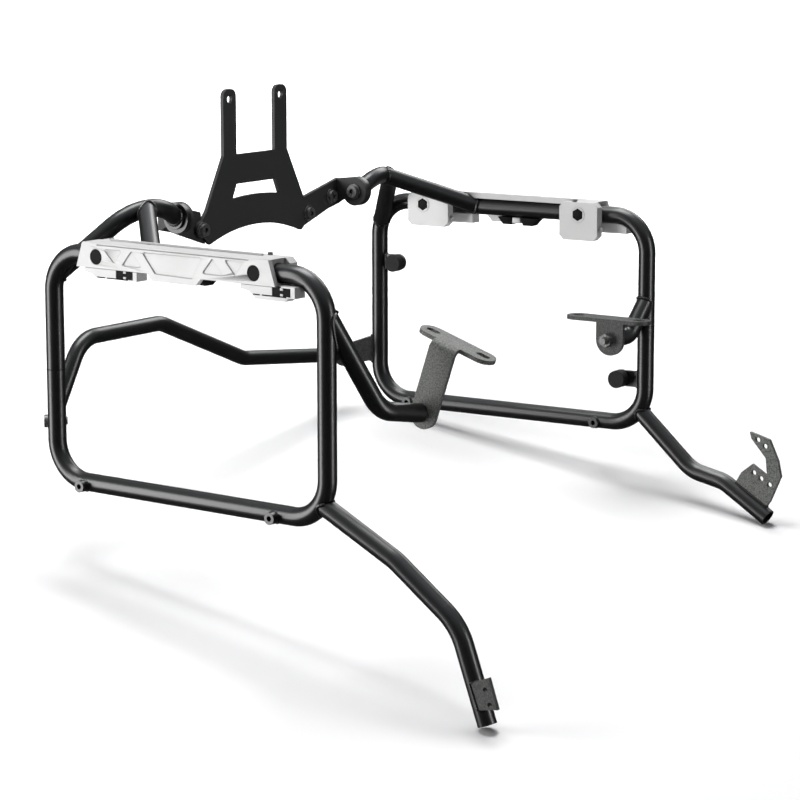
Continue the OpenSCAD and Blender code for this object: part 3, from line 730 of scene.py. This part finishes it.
def floor_material():
    """White paper that shows soft shadows near the frame and fades to plain white around it."""
    m, t, bsdf = node_material("pale_floor")
    tone = noise(t, 0.8, 1)
    paper = ramp(t, tone.outputs["Fac"], [(0.3, (0.93, 0.93, 0.935)), (0.7, (0.95, 0.95, 0.955))])
    t.links.new(paper, bsdf.inputs["Base Color"])
    bsdf.inputs["Roughness"].default_value = 0.9
    bsdf.inputs["Specular IOR Level"].default_value = 0.1
    place = t.nodes.new("ShaderNodeNewGeometry")
    away = t.nodes.new("ShaderNodeVectorMath")
    away.operation = "DISTANCE"
    away.inputs[1].default_value = FADE_FROM
    t.links.new(place.outputs["Position"], away.inputs[0])
    fade = t.nodes.new("ShaderNodeMapRange")
    fade.interpolation_type = "SMOOTHSTEP"
    fade.inputs["From Min"].default_value = FADE_NEAR
    fade.inputs["From Max"].default_value = FADE_FAR
    t.links.new(away.outputs["Value"], fade.inputs["Value"])
    seen = t.nodes.new("ShaderNodeLightPath")
    level = t.nodes.new("ShaderNodeMath")
    level.operation = "MULTIPLY"
    t.links.new(seen.outputs["Is Camera Ray"], level.inputs[0])
    t.links.new(fade.outputs["Result"], level.inputs[1])
    glow = t.nodes.new("ShaderNodeEmission")
    glow.inputs["Color"].default_value = (1, 1, 1, 1)
    t.links.new(level.outputs[0], glow.inputs["Strength"])
    both = t.nodes.new("ShaderNodeAddShader")
    t.links.new(bsdf.outputs[0], both.inputs[0])
    t.links.new(glow.outputs[0], both.inputs[1])
    out = next(n for n in t.nodes if n.type == "OUTPUT_MATERIAL")
    t.links.new(both.outputs[0], out.inputs["Surface"])
    return m


def make_floor():
    """The sloping floor, raised until it touches the frame's lowest point."""
    a, b, c = FLOOR_POINTS
    up = (b - a).cross(c - a).normalized()
    if up.z < 0:
        up = -up
    gap = min((obj.matrix_world @ v.co - a).dot(up) for obj in NODES.values() for v in obj.data.vertices)
    x = Vector((1, 0, 0)).cross(up).normalized()
    y = up.cross(x)
    centre = (a + b + c) / 3 + gap * up
    corners = [centre + FLOOR_HALF * (i * x + j * y) for i, j in ((-1, -1), (1, -1), (1, 1), (-1, 1))]
    mesh = bpy.data.meshes.new("floor")
    mesh.from_pydata(corners, [], [(0, 1, 2, 3)])
    obj = bpy.data.objects.new("floor", mesh)
    bpy.context.scene.collection.objects.link(obj)
    dress(obj, floor_material())
    # The tubes don't mirror the paper, and it holds back none of the light from below its plane
    obj.visible_glossy = False
    obj.visible_shadow = False


def background(tree, colour, strength):
    """A world shader of one colour."""
    shader = tree.nodes.new("ShaderNodeBackground")
    shader.inputs["Color"].default_value = (*colour, 1)
    shader.inputs["Strength"].default_value = strength
    return shader


def mixed_shader(tree, fac, first, second):
    """The first shader where fac is 0, the second where it is 1."""
    mix = tree.nodes.new("ShaderNodeMixShader")
    tree.links.new(fac, mix.inputs["Fac"])
    tree.links.new(first, mix.inputs[1])
    tree.links.new(second, mix.inputs[2])
    return mix.outputs[0]


def make_world():
    """A dim room: white behind the part, nearly black in reflections but for a soft light from above."""
    world = bpy.data.worlds.new("studio")
    bpy.context.scene.world = world
    world.use_nodes = True
    t = world.node_tree
    t.nodes.clear()
    fill = background(t, (0.96, 0.97, 1.0), 0.14)
    backdrop = background(t, (1, 1, 1), 1.0)
    reflected = background(t, (0.9, 0.95, 1.0), 1.0)
    way = t.nodes.new("ShaderNodeTexCoord")
    height = t.nodes.new("ShaderNodeSeparateXYZ")
    t.links.new(way.outputs["Generated"], height.inputs["Vector"])
    brightness = t.nodes.new("ShaderNodeMapRange")
    brightness.inputs["From Min"].default_value = 0.2
    brightness.inputs["To Min"].default_value = 0.05
    brightness.inputs["To Max"].default_value = 0.9
    t.links.new(height.outputs["Z"], brightness.inputs["Value"])
    t.links.new(brightness.outputs["Result"], reflected.inputs["Strength"])
    seen = t.nodes.new("ShaderNodeLightPath")
    room = mixed_shader(t, seen.outputs["Is Glossy Ray"], fill.outputs[0], reflected.outputs[0])
    shown = mixed_shader(t, seen.outputs["Is Camera Ray"], room, backdrop.outputs[0])
    out = t.nodes.new("ShaderNodeOutputWorld")
    t.links.new(shown, out.inputs["Surface"])


def area_lamp(name, at, aim, size, power, diffuse=True):
    """A soft box; without diffuse it is seen in reflections only."""
    lamp = bpy.data.lights.new(name, "AREA")
    lamp.shape = "RECTANGLE"
    lamp.size, lamp.size_y = size
    lamp.energy = power
    obj = bpy.data.objects.new(name, lamp)
    bpy.context.scene.collection.objects.link(obj)
    obj.location = at
    obj.rotation_mode = "QUATERNION"
    obj.rotation_quaternion = (Vector(aim) - Vector(at)).to_track_quat("-Z", "Y")
    obj.visible_diffuse = diffuse


def make_camera():
    data = bpy.data.cameras.new("camera")
    data.lens = LENS_MM
    data.sensor_width = 36
    data.clip_start, data.clip_end = 0.05, 60
    cam = bpy.data.objects.new("camera", data)
    bpy.context.scene.collection.objects.link(cam)
    cam.location = CAMERA_AT
    cam.rotation_mode = "QUATERNION"
    roll = Matrix.Rotation(-CAMERA_ROLL, 4, "Z").to_quaternion()
    cam.rotation_quaternion = CAMERA_LOOK.to_track_quat("-Z", "Y") @ roll
    bpy.context.scene.camera = cam


make_floor()
make_world()
# What the lamps are aimed at
MIDDLE = (0.13, 0, -0.25)
FRONT_MIDDLE = (0.1, 0, -0.3)
FRONT_EDGE = (0.2, 0, -0.3)
# Name, place, aim, width and height in metres, power in watts
area_lamp("overhead", (-0.25, 0.1, 2.5), MIDDLE, (2.2, 1.4), 104)
area_lamp("back_top", (-0.1, 1.9, 1.35), MIDDLE, (1.6, 0.9), 24, diffuse=False)
area_lamp("left_strip", (-2.09, -2.33, -0.1), FRONT_MIDDLE, (1.6, 2.9), 132)
area_lamp("right_strip", (2.5, 0.25, -0.2), FRONT_EDGE, (0.42, 2.0), 30, diffuse=False)
make_camera()
bpy.context.scene.view_settings.view_transform = "Standard"
